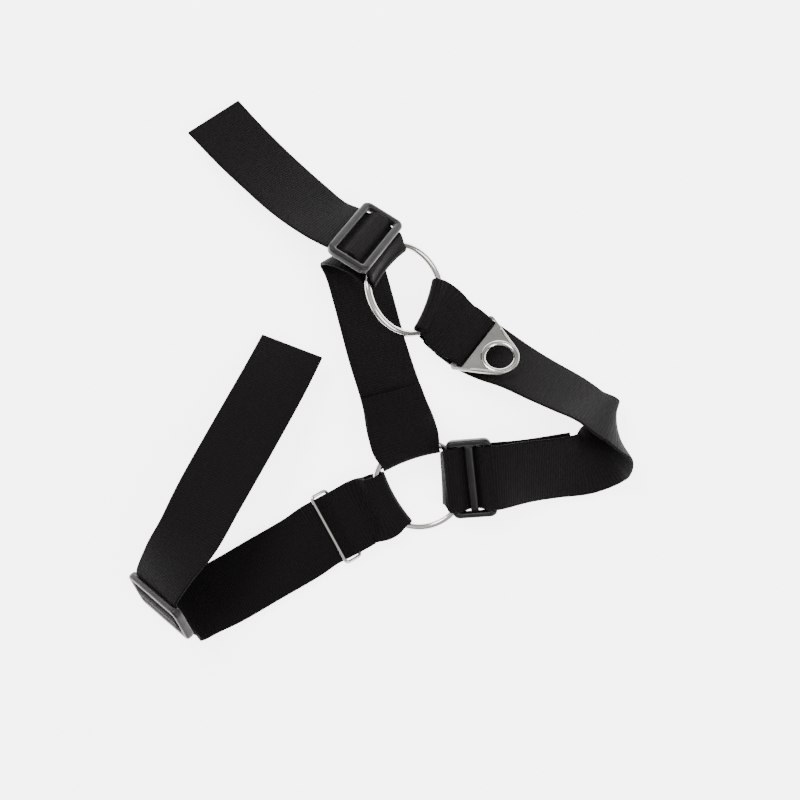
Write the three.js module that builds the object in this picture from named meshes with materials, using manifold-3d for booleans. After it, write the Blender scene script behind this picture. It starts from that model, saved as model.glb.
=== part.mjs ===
// A no-pull dog harness of black webbing, laid out on a flat surface at z = 0.
// Three straps meet at two round wire rings. Each strap is adjusted by a three-bar slider.
//   shoulder strap: free tail, slider, round the upper ring, back under itself, down to the lower ring
//   chest strap:    sewn round the leash plate, round the upper ring, out in a loop, slider, lower ring
//   girth strap:    free tail, slider, bend, keeper loop, round the lower ring, sewn round the keeper
// Millimetres, +Z up, +Y towards the free end of the shoulder strap.
import * as THREE from 'three';
import { mergeVertices } from 'three/addons/utils/BufferGeometryUtils.js';
import Module from 'manifold-3d';

const wasm = await Module();
wasm.setup();

// ---- Driving dimensions ----
const WEB_WIDTH = 38;         // webbing, selvedge to selvedge
const WEB_THICKNESS = 1.6;
const GATHERED_WIDTH = 33;    // webbing drawn together where it turns round a ring
const FOLD_WIDTH = 34.5;        // webbing where it turns round the plate's bar
const GAP = 0.3;              // clearance between pieces that touch
const RING_RADIUS = 24.8;     // to the middle of the wire, 46 mm clear inside
const RING_WIRE = 3.6;        // wire diameter
const KEEPER_WIRE = 2;
const KEEPER_LENGTH = 9.62;   // between the middles of its two long bars
const KEEPER_SPAN = 41.5;     // between the middles of its two short ends
const SLIDER_LENGTH = 25;     // along the strap
const SLIDER_SPAN = 46;       // across the strap
const SLIDER_OPENING = 39.4;
const SIDE_BAR = 4.3;         // width of a slider's outer bars
const MIDDLE_BAR = 4.4;
const PLATE_THICKNESS = 2.4;
const PLATE_FOLD_RADIUS = 3;    // the strap's middle, round the plate's bar
const PLATE_EYE_DISTANCE = 18.1; // from the bar's middle to the eye's centre
const PLATE_EYE_RADIUS = 7.7;
const THREAD = 0.7;           // sewing thread, as wide as it lies

const FOLD_RADIUS = RING_WIRE / 2 + 0.35 + WEB_THICKNESS / 2; // a strap's middle, round a ring's wire
const FOLD_DISTANCE = 17.4;   // from a ring's centre to the axis of a fold
const LAYER_DISTANCE = 27.5;  // from a ring's centre to where both layers are clear of its wire
const BOW = 1.6;              // how far the middle of a fold stands out from its ends

const COLOURS = {
  webbing: { color: 0x0d0c0e, roughness: 0.85, metalness: 0 },
  thread: { color: 0x141316, roughness: 0.7, metalness: 0 },
  plastic: { color: 0x2b2b29, roughness: 0.45, metalness: 0 },
  steel: { color: 0xb9b6ae, roughness: 0.25, metalness: 1 },
  plate: { color: 0xa9a8a4, roughness: 0.4, metalness: 1 },
};

const vec = (x, y, z) => new THREE.Vector3(x, y, z);
const harness = new THREE.Group();

function material(kind) {
  return new THREE.MeshStandardMaterial(COLOURS[kind]);
}

function add(name, geometry, kind, parent = harness) {
  const mesh = new THREE.Mesh(geometry, material(kind));
  mesh.name = name;
  parent.add(mesh);
  return mesh;
}

// ---- Solids from cross-sections ----

// Joins rings of points into one closed skin. An open run of rings gets a flat cap at each end.
function loft(rings, closed = false) {
  const count = rings[0].length;
  const positions = rings.flat().flatMap((p) => [p.x, p.y, p.z]);
  const index = [];
  const spans = closed ? rings.length : rings.length - 1;
  for (let i = 0; i < spans; i++) {
    const near = i * count;
    const far = ((i + 1) % rings.length) * count;
    for (let k = 0; k < count; k++) {
      const next = (k + 1) % count;
      index.push(near + k, near + next, far + next, near + k, far + next, far + k);
    }
  }
  if (!closed) {
    const last = (rings.length - 1) * count;
    for (let k = 0; k < count / 2 - 1; k++) {
      const mirror = count - 1 - k;
      index.push(k, mirror, mirror - 1, k, mirror - 1, k + 1);
      index.push(last + k, last + mirror - 1, last + mirror, last + k, last + k + 1, last + mirror - 1);
    }
  }
  const geometry = new THREE.BufferGeometry();
  geometry.setAttribute('position', new THREE.Float32BufferAttribute(positions, 3));
  geometry.setIndex(index);
  return geometry;
}

// A round bar that runs along a closed line of places, each with the two directions of its section.
function closedBar(places, radius, sides) {
  return loft(places.map(({ at, out, up }) => {
    const ring = [];
    for (let k = 0; k < sides; k++) {
      const angle = (-2 * Math.PI * k) / sides;
      const point = at.clone().addScaledVector(out, radius * Math.cos(angle));
      ring.push(point.addScaledVector(up, radius * Math.sin(angle)));
    }
    return ring;
  }), true);
}

function toManifold(geometry) {
  const bare = geometry.clone();
  bare.deleteAttribute('normal');
  bare.deleteAttribute('uv');
  const merged = mergeVertices(bare, 1e-4);
  return new wasm.Manifold(new wasm.Mesh({
    numProp: 3,
    vertProperties: new Float32Array(merged.attributes.position.array),
    triVerts: new Uint32Array(merged.index.array),
  }));
}

function fromManifold(solid) {
  const mesh = solid.getMesh();
  const geometry = new THREE.BufferGeometry();
  geometry.setAttribute('position', new THREE.BufferAttribute(mesh.vertProperties, 3));
  geometry.setIndex(new THREE.BufferAttribute(mesh.triVerts, 1));
  return geometry;
}

function block(sizeX, sizeY, lowZ, highZ, x = 0, y = 0) {
  return new THREE.BoxGeometry(sizeX, sizeY, highZ - lowZ).translate(x, y, (lowZ + highZ) / 2);
}

// ---- Local frames ----

// A frame has x along a strap, z out of its face, and y across it.
function frame(origin, along, across) {
  const x = along.clone().normalize();
  const y = across.clone().addScaledVector(x, -across.dot(x)).normalize();
  const z = new THREE.Vector3().crossVectors(x, y);
  const matrix = new THREE.Matrix4().makeBasis(x, y, z).setPosition(origin);
  return { origin, x, y, z, matrix, at: (a, b, c) => vec(a, b, c).applyMatrix4(matrix) };
}

function place(mesh, { origin, x, y, z }) {
  mesh.quaternion.setFromRotationMatrix(new THREE.Matrix4().makeBasis(x, y, z));
  mesh.position.copy(origin);
}

// ---- Webbing ----

// A station is one point of a strap's middle line, and the way the strap's width points there.
function station(at, across, width = WEB_WIDTH, bow = vec(0, 0, 0)) {
  return { at, across: across.clone().normalize(), width, bow };
}

class Strap {
  constructor(stations) {
    this.stations = stations;
    this.curve = new THREE.CatmullRomCurve3(stations.map((s) => s.at), false, 'centripetal');
  }

  // The middle line's frame at a place such as 2.5, midway from station 2 to station 3.
  section(place) {
    const i = Math.min(Math.floor(place), this.stations.length - 2);
    const [a, b] = [this.stations[i], this.stations[i + 1]];
    const t = place / (this.stations.length - 1);
    const along = this.curve.getTangent(t);
    const across = a.across.clone().lerp(b.across, place - i);
    across.addScaledVector(along, -across.dot(along)).normalize();
    return {
      at: this.curve.getPoint(t),
      along,
      across,
      normal: new THREE.Vector3().crossVectors(across, along),
      width: THREE.MathUtils.lerp(a.width, b.width, place - i),
      bow: a.bow.clone().lerp(b.bow, place - i),
    };
  }

  spanLength(i) {
    return this.stations[i].at.distanceTo(this.stations[i + 1].at);
  }

  // One solid length of the strap, from one station to another, a little short of both.
  length(from, to) {
    const longestStep = 5;
    const places = [];
    for (let i = from; i < to; i++) {
      const steps = Math.max(1, Math.round(this.spanLength(i) / longestStep));
      for (let k = 0; k < steps; k++) {
        places.push(i + k / steps);
      }
    }
    places.push(to);
    places[0] += GAP / 2 / this.spanLength(from);
    places[places.length - 1] -= GAP / 2 / this.spanLength(to - 1);
    return loft(places.map((p) => this.outline(this.section(p))));
  }

  // Three points across the upper face, then the same three back across the lower one.
  outline({ at, across, normal, width, bow }) {
    const face = (side, steps) => steps.map((v) => at.clone()
      .addScaledVector(across, v * width / 2)
      .addScaledVector(bow, 1 - v * v)
      .addScaledVector(normal, side * WEB_THICKNESS / 2));
    return [...face(1, [-1, 0, 1]), ...face(-1, [1, 0, -1])];
  }
}

// ---- Places of the metal and plastic pieces ----

// A ring's frame: its centre, and the way its axis leans from upright and towards which heading.
function ringFrame(centre, leanDegrees, headingDegrees) {
  const lean = THREE.MathUtils.degToRad(leanDegrees);
  const heading = THREE.MathUtils.degToRad(headingDegrees);
  const normal = vec(
    Math.sin(lean) * Math.cos(heading),
    Math.sin(lean) * Math.sin(heading),
    Math.cos(lean),
  );
  const x = new THREE.Vector3().crossVectors(vec(0, 1, 0), normal);
  return frame(centre, x, new THREE.Vector3().crossVectors(normal, x));
}

// The direction in a ring's plane that lies over a given heading in plan.
function inPlane(ring, headingDegrees) {
  const heading = THREE.MathUtils.degToRad(headingDegrees);
  const level = vec(Math.cos(heading), Math.sin(heading), 0);
  return level.setZ(-(ring.z.x * level.x + ring.z.y * level.y) / ring.z.z).normalize();
}

const upperRing = ringFrame(vec(14.6, 42.7, 23), 37, 16);
const lowerRing = ringFrame(vec(22.8, -64.6, 10.5), 14, -75);

const shoulderSlider = frame(vec(-6.8, 69.1, 36.8), vec(0.84, -0.53, 0.05), vec(0.46, 0.62, -0.635));
const chestSlider = frame(vec(51, -60.8, 18.6), vec(-0.98, -0.08, -0.12), vec(-0.07, 0.94, 0.33));
const girthSlider = frame(vec(-118, -129, 26), vec(0.222, -0.706, -0.672), vec(0.679, -0.382, 0.626));

// The leash plate's bar: x along the strap, towards the loop, and z up out of it.
const plateBar = frame(vec(51, 14.2, 16.6), vec(0.8, -0.6, 0.07), vec(0.577, 0.725, -0.377));
const PLATE_LIFT = 16; // degrees that the plate stands up from the strap

// The keeper's two long bars, one over the girth strap and one in its sewn end.
const girthHeading = vec(0.876, 0.482, 0);
const girthAcross = vec(0.482, -0.876, 0);
const keeperBar = frame(vec(-20.1, -86.2, 4), girthHeading, girthAcross.clone().negate());

// ---- Routes of the three straps ----

// A strap's loop round a ring's wire: in on the side that faces out, round, and back behind it.
// Each step is a distance from the ring's centre, a height off its plane and the strap's width there.
function roundTheWire() {
  const clear = FOLD_RADIUS + 0.35;
  const steps = [[LAYER_DISTANCE, clear, WEB_WIDTH], [21.5, clear, 36]];
  for (let degrees = 0; degrees <= 180; degrees += 30) {
    const angle = THREE.MathUtils.degToRad(degrees);
    const distance = FOLD_DISTANCE - FOLD_RADIUS * Math.sin(angle);
    steps.push([distance, FOLD_RADIUS * Math.cos(angle), GATHERED_WIDTH]);
  }
  return [...steps, [21.5, -clear, 36], [LAYER_DISTANCE, -clear, WEB_WIDTH]];
}

function ringLoop(ring, headingDegrees, across) {
  const out = inPlane(ring, headingDegrees);
  const width = across.clone().projectOnPlane(out);
  return roundTheWire().map(([distance, height, size]) => {
    const at = ring.origin.clone().addScaledVector(out, distance).addScaledVector(ring.z, height);
    const bow = size === GATHERED_WIDTH ? BOW : 0;
    return station(at, width, size, out.clone().multiplyScalar(bow));
  });
}

// A strap's way through a slider: under one outer bar, over the middle bar, under the other.
// Each pair is a distance along the slider and a height out of its face.
const SLIDER_WEAVE = [
  [-13, -2.5], [-9.5, -2.1], [-7.6, -1.9], [-5.7, -0.6], [-3.9, 1.3], [-2.2, 2.15], [0, 2.3],
  [2.2, 2.15], [3.9, 1.3], [5.7, -0.6], [7.6, -1.9], [9.5, -2.1], [13, -2.5],
];

function weave(slider, across) {
  return SLIDER_WEAVE.map(([x, z]) => station(slider.at(x, 0, z), across, SLIDER_OPENING - 1.6));
}

// A half turn of webbing round a bar, from one face of a frame to the other, at the frame's origin.
function barTurn(bar, radius, across, width, towards) {
  const stations = [];
  for (let degrees = -90; degrees <= 90; degrees += 30) {
    const angle = THREE.MathUtils.degToRad(degrees);
    const at = bar.at(towards * radius * Math.cos(angle), 0, radius * Math.sin(angle));
    stations.push(station(at, across, width));
  }
  return stations;
}

function shoulderRoute() {
  const ringSide = vec(-0.52, -0.67, 0.52);
  return [
    station(vec(-91.9, 139.5, 10), vec(-0.622, -0.622, 0.474)),
    station(vec(-74.8, 121.4, 12.2), vec(-0.59, -0.63, 0.5)),
    station(vec(-59, 106, 16.2), vec(-0.578, -0.617, 0.535)),
    station(vec(-43.4, 91.6, 23.2), vec(-0.56, -0.6, 0.57)),
    station(vec(-29.5, 80.5, 30), vec(-0.5, -0.58, 0.64)),
    ...weave(shoulderSlider, shoulderSlider.y.clone().negate()),
    ...ringLoop(upperRing, 131, ringSide).slice(2),
    station(vec(-11, 65, 27.5), vec(-0.6, -0.62, 0.5)),
    station(vec(-14.8, 66.6, 24.3), vec(-0.7, -0.6, 0.4)),
    station(vec(-16, 66, 19), vec(-0.8, -0.47, 0.36)),
    station(vec(-15.5, 62.2, 14), vec(-0.85, -0.33, 0.42)),
    station(vec(-13, 54, 12), vec(-0.83, -0.25, 0.5)),
    station(vec(-8.5, 38, 11.8), vec(-0.82, -0.25, 0.51)),
    station(vec(-0.6, 9, 11.8), vec(-0.83, -0.26, 0.49)),
    station(vec(8.3, -19, 12), vec(-0.87, -0.27, 0.41)),
    ...ringLoop(lowerRing, 109, vec(-0.95, -0.31, 0)).reverse(),
    station(vec(10.9, -27, 16.6), vec(-0.92, -0.28, 0.28), 37),
    station(vec(6.6, -13, 15.4), vec(-0.87, -0.26, 0.42), 37),
  ];
}

function chestRoute() {
  const outer = vec(-0.577, -0.725, 0.377);
  return [
    station(plateBar.at(-12, 0, -1.4), outer, 36.5),
    station(plateBar.at(-8, 0, -1.7), outer, 36.5),
    station(plateBar.at(-3.5, 0, -2.8), outer, FOLD_WIDTH),
    ...barTurn(plateBar, PLATE_FOLD_RADIUS, outer, FOLD_WIDTH, 1),
    station(plateBar.at(-5, 0, 2.5), vec(-0.56, -0.72, 0.4), 36.5),
    station(plateBar.at(-12, 0, 1.7), vec(-0.55, -0.73, 0.4), 37.5),
    station(vec(36.6, 28.2, 16.3), vec(-0.47, -0.78, 0.43), 36),
    ...ringLoop(upperRing, -33.4, vec(-0.32, -0.85, 0.41)).slice(1, -1),
    station(vec(33.5, 28.6, 8.9), vec(-0.42, -0.81, 0.41), 37),
    station(vec(41, 22.5, 9.6), vec(-0.48, -0.78, 0.39)),
    station(vec(51, 14.5, 10.6), vec(-0.53, -0.75, 0.39)),
    station(vec(62, 8, 12), vec(-0.52, -0.7, 0.48)),
    station(vec(75, 1.2, 14.5), vec(-0.46, -0.62, 0.64)),
    station(vec(88.9, -6.5, 17), vec(-0.42, -0.58, 0.7)),
    station(vec(102.8, -13.8, 20.5), vec(-0.38, -0.55, 0.745)),
    station(vec(115.9, -21.6, 25), vec(-0.3, -0.52, 0.8)),
    station(vec(127, -29.5, 26), vec(-0.1, -0.74, 0.66)),
    station(vec(130.3, -38, 20), vec(0.22, -0.9, 0.38)),
    station(vec(125, -46.6, 13), vec(0.22, -0.97, -0.04)),
    station(vec(115.5, -52.6, 11.4), vec(0.14, -0.93, -0.33)),
    station(vec(100.5, -55.3, 13.2), vec(0.08, -0.88, -0.45)),
    station(vec(83.6, -57.3, 16.6), vec(0.06, -0.9, -0.42)),
    ...weave(chestSlider, chestSlider.y.clone().negate()),
    station(vec(36.6, -62.2, 17), vec(0.06, -0.93, -0.33), 34),
    station(vec(35.6, -61.8, 13.6), vec(0.06, -0.94, -0.3), 29.5),
    station(vec(35.4, -61.3, 10.8), vec(0.06, -0.95, -0.27), 30),
    station(vec(36.6, -60.8, 8.3), vec(0.06, -0.95, -0.25), 30),
    station(vec(39.8, -60.2, 6.8), vec(0.06, -0.96, -0.25), 32),
    station(vec(44, -59.6, 6.3), vec(0.06, -0.96, -0.26), 35),
    station(vec(50, -59.5, 6.8), vec(0.06, -0.95, -0.3), 37),
    station(vec(64, -58.6, 8.6), vec(0.06, -0.92, -0.38)),
    station(vec(80, -56.8, 10), vec(0.06, -0.9, -0.42)),
    station(vec(107.5, -52.4, 9.8), vec(0.08, -0.89, -0.44)),
  ];
}

function girthRoute() {
  const keeperOver = (x, z, width) => station(keeperBar.at(x, 0, z), girthAcross, width);
  return [
    station(vec(-48.3, 12.2, 9), vec(0.873, -0.407, 0.27)),
    station(vec(-57.1, -6, 15.5), vec(0.87, -0.43, 0.22)),
    station(vec(-74.2, -38.3, 25), vec(0.87, -0.45, 0.2)),
    station(vec(-91, -69.5, 33), vec(0.86, -0.45, 0.25)),
    station(vec(-101, -89, 37), vec(0.82, -0.46, 0.35)),
    station(vec(-111.6, -104.4, 37.5), vec(0.75, -0.42, 0.52)),
    ...weave(girthSlider, girthSlider.y),
    station(vec(-108.7, -136.6, 9.5), vec(0.6, -0.7, 0.38)),
    station(vec(-98.5, -131, 5.2), vec(0.54, -0.83, 0.15)),
    station(vec(-85, -124.6, 4.2), vec(0.49, -0.87, 0.03)),
    station(vec(-65, -113, 4.2), vec(0.482, -0.876, 0)),
    station(vec(-43.3, -100.4, 4.2), vec(0.482, -0.876, 0)),
    keeperOver(-15, 0.6, 38),
    keeperOver(-9, 1.2, 38),
    keeperOver(-5, 2.6, 38),
    keeperOver(0, 4.2, 38),
    keeperOver(6, 4.6, 38),
    keeperOver(13, 5.2, 38),
    ...ringLoop(lowerRing, 208.8, vec(0.48, -0.87, -0.24)),
    keeperOver(13, -0.8, 37.5),
    keeperOver(6, -2, 37),
    ...barTurn(keeperBar, 2.1, girthAcross, 37, -1),
    keeperOver(6, 1.3, 37),
    keeperOver(11, 1.2, 37),
  ];
}

// ---- Straps, each cut where a slider or a bend lets it move ----

// A cut is a node's name and the stations it runs between.
function addStrap(route, cuts) {
  const strap = new Strap(route);
  cuts.forEach(([name, from, to]) => add(name, strap.length(from, to), 'webbing'));
  return strap;
}

const shoulderStrap = addStrap(shoulderRoute(), [
  ['shoulder_strap_tail', 0, 3],
  ['shoulder_strap_tail_root', 3, 4],
  ['shoulder_strap_outer_slack', 4, 6],
  ['shoulder_strap_in_slider', 6, 16],
  ['shoulder_strap_inner_slack', 16, 20],
  ['shoulder_strap_upper_fold', 20, 26],
  ['shoulder_strap_return', 26, 31],
  ['shoulder_strap_run', 31, 34],
  ['shoulder_strap_lower_fold', 34, 45],
  ['shoulder_strap_sewn_end', 45, 47],
]);

const chestStrap = addStrap(chestRoute(), [
  ['chest_strap_leash_fold', 0, 10],
  ['chest_strap_upper_fold', 10, 23],
  ['chest_strap_upper_run', 23, 28],
  ['chest_strap_bend', 28, 33],
  ['chest_strap_lower_run', 33, 35],
  ['chest_strap_outer_slack', 35, 37],
  ['chest_strap_in_slider', 37, 47],
  ['chest_strap_inner_slack', 47, 51],
  ['chest_strap_lower_fold', 51, 55],
  ['chest_strap_cut_end', 55, 58],
]);

const girthStrap = addStrap(girthRoute(), [
  ['girth_strap_tail', 0, 4],
  ['girth_strap_tail_root', 4, 5],
  ['girth_strap_outer_slack', 5, 7],
  ['girth_strap_in_slider', 7, 17],
  ['girth_strap_inner_slack', 17, 19],
  ['girth_strap_bend', 19, 21],
  ['girth_strap_run', 21, 23],
  ['girth_strap_in_keeper', 23, 28],
  ['girth_strap_lower_fold', 28, 41],
  ['girth_strap_keeper_fold', 41, 51],
]);

// ---- Rings, keeper, plate and sliders ----

function addRing(name, ring) {
  const geometry = new THREE.TorusGeometry(RING_RADIUS, RING_WIRE / 2, 10, 64);
  place(add(name, geometry, 'steel'), ring);
}

// A frame with two openings. The outer bars are thinner than the ends, so that the strap lies in them.
function slider() {
  const corner = 4;
  const [halfLength, halfSpan] = [SLIDER_LENGTH / 2, SLIDER_SPAN / 2];
  const outline = new THREE.Shape();
  outline.absarc(halfLength - corner, halfSpan - corner, corner, 0, Math.PI / 2);
  outline.absarc(corner - halfLength, halfSpan - corner, corner, Math.PI / 2, Math.PI);
  outline.absarc(corner - halfLength, corner - halfSpan, corner, Math.PI, 1.5 * Math.PI);
  outline.absarc(halfLength - corner, corner - halfSpan, corner, 1.5 * Math.PI, 2 * Math.PI);
  const body = new THREE.ExtrudeGeometry(outline, { depth: 4.8, bevelEnabled: false, curveSegments: 4 });
  body.translate(0, 0, -2.4);
  const opening = block(SLIDER_LENGTH - 2 * SIDE_BAR, SLIDER_OPENING, -5, 5);
  const underBars = block(SLIDER_LENGTH + 2, SLIDER_OPENING, -5, -0.9);
  const middleBar = block(MIDDLE_BAR, SLIDER_OPENING + 2, -1.6, 0.8);
  return fromManifold(toManifold(body)
    .subtract(toManifold(opening))
    .subtract(toManifold(underBars))
    .add(toManifold(middleBar)));
}

function addSlider(name, at) {
  place(add(name, slider(), 'plastic'), at);
}

// A triangular plate with a slot for the strap at its base and a rimmed eye for a leash's hook.
function leashPlate() {
  const corner = { x: 17.5, y: 0.9, radius: 2.5 };
  const tip = { y: PLATE_EYE_DISTANCE, radius: 11 };
  const towardsTip = Math.atan2(tip.y - corner.y, -corner.x);
  const side = towardsTip - Math.acos((corner.radius - tip.radius) / Math.hypot(corner.x, tip.y - corner.y));
  const outline = new THREE.Shape();
  outline.absarc(corner.x, corner.y, corner.radius, -Math.PI / 2, side);
  outline.absarc(0, tip.y, tip.radius, side, Math.PI - side);
  outline.absarc(-corner.x, corner.y, corner.radius, Math.PI - side, 1.5 * Math.PI);
  const slot = new THREE.Path();
  slot.moveTo(-18, 1.6);
  slot.lineTo(18, 1.6);
  slot.lineTo(17.2, 4.6);
  slot.lineTo(-17.2, 4.6);
  slot.closePath();
  const eye = new THREE.Path();
  eye.absarc(0, tip.y, PLATE_EYE_RADIUS, 0, 2 * Math.PI);
  outline.holes.push(slot, eye);
  const body = new THREE.ExtrudeGeometry(outline, {
    depth: PLATE_THICKNESS, bevelEnabled: false, curveSegments: 12,
  });
  body.translate(0, 0, -PLATE_THICKNESS / 2);
  const rim = new THREE.TorusGeometry(PLATE_EYE_RADIUS + 1.3, 1.7, 10, 48).translate(0, tip.y, 0);
  return fromManifold(toManifold(body).add(toManifold(rim)));
}

function addLeashPlate(name) {
  const lift = THREE.MathUtils.degToRad(PLATE_LIFT);
  const out = plateBar.x.clone().multiplyScalar(Math.cos(lift)).addScaledVector(plateBar.z, Math.sin(lift));
  place(add(name, leashPlate(), 'plate'), frame(plateBar.origin, plateBar.y.clone().negate(), out));
}

// A wire rectangle. One long bar lies in the strap's sewn end, the other over the strap.
function addKeeper(name) {
  const bar = keeperBar.at(-9, 0, 3.4);
  const towardsBar = bar.clone().sub(keeperBar.origin).normalize();
  const sheet = frame(keeperBar.origin, towardsBar, keeperBar.y);
  const corner = 2;
  const places = [];
  [[1, 1], [-1, 1], [-1, -1], [1, -1]].forEach(([sideX, sideY], quarter) => {
    const x = KEEPER_LENGTH / 2 + sideX * (KEEPER_LENGTH / 2 - corner);
    const y = sideY * (KEEPER_SPAN / 2 - corner);
    for (let step = 0; step <= 4; step++) {
      const angle = (quarter + step / 4) * Math.PI / 2;
      const out = sheet.x.clone().multiplyScalar(Math.cos(angle)).addScaledVector(sheet.y, Math.sin(angle));
      places.push({ at: sheet.at(x, y, 0).addScaledVector(out, corner), out, up: sheet.z });
    }
  });
  add(name, closedBar(places, KEEPER_WIRE / 2, 10), 'steel');
}

addRing('upper_ring', upperRing);
addRing('lower_ring', lowerRing);
addSlider('shoulder_slider', shoulderSlider);
addSlider('chest_slider', chestSlider);
addSlider('girth_slider', girthSlider);
addLeashPlate('leash_plate');
addKeeper('keeper_loop');

// ---- Sewing ----

// A closed run of thread round a rectangle on a strap's upper face, between two places along it.
function addStitches(name, strap, from, to) {
  const inset = 3;
  const lift = WEB_THICKNESS / 2 + THREAD / 2 + 0.1;
  const steps = 5;
  const places = [];
  [-1, 1].forEach((side) => {
    for (let step = 0; step <= steps; step++) {
      const share = side < 0 ? 1 - step / steps : step / steps;
      const { at, along, across, normal, width } = strap.section(from + share * (to - from));
      const out = across.clone().multiplyScalar(side);
      if (step === 0 || step === steps) {
        out.addScaledVector(along, share === 0 ? -1 : 1).normalize();
      }
      const point = at.addScaledVector(across, side * (width / 2 - inset)).addScaledVector(normal, lift);
      places.push({ at: point, out, up: normal });
    }
  });
  add(name, closedBar(places, THREAD / 2, 6), 'thread');
}

addStitches('shoulder_strap_stitches', shoulderStrap, 45.4, 46.7);
addStitches('leash_fold_stitches', chestStrap, 10.2, 10.9);
addStitches('keeper_fold_stitches', girthStrap, 49.5, 50.6);

// The origin goes to the middle of the underside.
const bounds = new THREE.Box3().setFromObject(harness);
const middle = bounds.getCenter(vec(0, 0, 0));
harness.position.set(-middle.x, -middle.y, -bounds.min.z);

export default harness;
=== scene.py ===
"""Looks for the no-pull dog harness: woven webbing, plated wire, moulded sliders and sewing.

The lists of stations are the same as the part's own, in millimetres, so that every strap lies
where its solids lie.
"""
import math

import bmesh
import bpy
import numpy as np
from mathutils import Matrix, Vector


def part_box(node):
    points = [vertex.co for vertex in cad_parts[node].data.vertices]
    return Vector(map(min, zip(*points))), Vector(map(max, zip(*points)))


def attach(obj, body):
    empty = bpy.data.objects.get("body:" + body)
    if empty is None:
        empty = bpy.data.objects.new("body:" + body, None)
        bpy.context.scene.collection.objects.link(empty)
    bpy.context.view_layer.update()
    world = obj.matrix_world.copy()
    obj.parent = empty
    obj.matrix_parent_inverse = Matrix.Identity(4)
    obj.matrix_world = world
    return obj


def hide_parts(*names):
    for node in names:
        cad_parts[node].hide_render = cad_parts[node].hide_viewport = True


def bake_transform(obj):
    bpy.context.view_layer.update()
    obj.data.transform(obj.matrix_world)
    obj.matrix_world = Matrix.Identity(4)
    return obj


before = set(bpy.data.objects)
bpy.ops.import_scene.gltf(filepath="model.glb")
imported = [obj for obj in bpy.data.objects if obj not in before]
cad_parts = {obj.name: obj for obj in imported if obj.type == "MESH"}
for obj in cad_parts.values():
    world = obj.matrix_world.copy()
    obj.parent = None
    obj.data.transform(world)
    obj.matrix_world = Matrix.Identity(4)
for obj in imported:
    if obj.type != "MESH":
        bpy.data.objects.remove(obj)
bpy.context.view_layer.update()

# ---- Driving dimensions, in millimetres ----
WEB_WIDTH = 38.0
WEB_THICKNESS = 1.5
GATHERED_WIDTH = 33.0
FOLD_WIDTH = 34.5
RING_RADIUS = 24.8
RING_WIRE = 3.6
RING_SECTIONS = 128
KEEPER_WIRE = 2.0
KEEPER_LENGTH = 9.62
KEEPER_SPAN = 41.5
KEEPER_CORNER = 2.0
SLIDER_LENGTH = 25.0
SLIDER_SPAN = 46.0
SLIDER_CORNER = 4.0
SLIDER_OPENING = 39.4
SIDE_BAR = 4.3
SIDE_BAR_BOTTOM = -0.9
SLIDER_HALF_HEIGHT = 2.4
PLATE_THICKNESS = 2.4
PLATE_FOLD_RADIUS = 3.0
PLATE_LIFT = 16.0
PLATE_EDGE = 0.5    # how far the plate's edges are softened
PLATE_CORNER = np.array((17.5, 0.9))
PLATE_CORNER_RADIUS = 2.5
SLOT_MIDDLE = 3.1
SLOT_HALF_LENGTH = 17.4
SLOT_HALF_WIDTH = 1.5
TIP_RADIUS = 11.0
EYE_DISTANCE = 18.1
EYE_RADIUS = 7.7
EYE_RIM = 1.7
BEAD = 0.85
FOLD_RADIUS = RING_WIRE / 2 + 0.35 + 0.8
FOLD_DISTANCE = 17.4
LAYER_DISTANCE = 27.5
BOW = 1.6
WEB_STEP = 0.35    # from one modelled section of webbing to the next
RIB = 1.4          # from one cross rib of the weave to the next
RIB_HEIGHT = 0.022
UPPER_RING_CENTRE = np.array((14.6, 42.7, 23.0))
RING_IN_PART = np.mean(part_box("upper_ring"), axis=0) * 1000
ORIGIN = RING_IN_PART - UPPER_RING_CENTRE  # from the routes' frame to the part's


def vec(x, y, z):
    return np.array((x, y, z), float)


def unit(v):
    return v / np.linalg.norm(v)


def row(points):
    """Millimetres in the routes' frame to metres in the part's frame."""
    return (np.asarray(points, float) + ORIGIN) / 1000


# ---- Local frames ----

class Frame:
    """x along a strap, z out of its face, y across it."""

    def __init__(self, origin, along, across):
        self.origin = origin
        self.x = unit(along)
        self.y = unit(across - across.dot(self.x) * self.x)
        self.z = np.cross(self.x, self.y)

    def at(self, a, b, c):
        return self.origin + a * self.x + b * self.y + c * self.z


def ring_frame(centre, lean_degrees, heading_degrees):
    lean, heading = math.radians(lean_degrees), math.radians(heading_degrees)
    normal = vec(math.sin(lean) * math.cos(heading), math.sin(lean) * math.sin(heading), math.cos(lean))
    x = np.cross(vec(0, 1, 0), normal)
    return Frame(centre, x, np.cross(normal, x))


def in_plane(ring, heading_degrees):
    """The direction in a ring's plane that lies over a given heading in plan."""
    heading = math.radians(heading_degrees)
    x, y = math.cos(heading), math.sin(heading)
    return unit(vec(x, y, -(ring.z[0] * x + ring.z[1] * y) / ring.z[2]))


upper_ring = ring_frame(UPPER_RING_CENTRE, 37, 16)
lower_ring = ring_frame(vec(22.8, -64.6, 10.5), 14, -75)
shoulder_slider = Frame(vec(-6.8, 69.1, 36.8), vec(0.84, -0.53, 0.05), vec(0.46, 0.62, -0.635))
chest_slider = Frame(vec(51, -60.8, 18.6), vec(-0.98, -0.08, -0.12), vec(-0.07, 0.94, 0.33))
girth_slider = Frame(vec(-118, -129, 26), vec(0.222, -0.706, -0.672), vec(0.679, -0.382, 0.626))
plate_bar = Frame(vec(51, 14.2, 16.6), vec(0.8, -0.6, 0.07), vec(0.577, 0.725, -0.377))
GIRTH_ACROSS = vec(0.482, -0.876, 0)
keeper_bar = Frame(vec(-20.1, -86.2, 4), vec(0.876, 0.482, 0), -GIRTH_ACROSS)


# ---- Routes of the three straps ----

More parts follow.
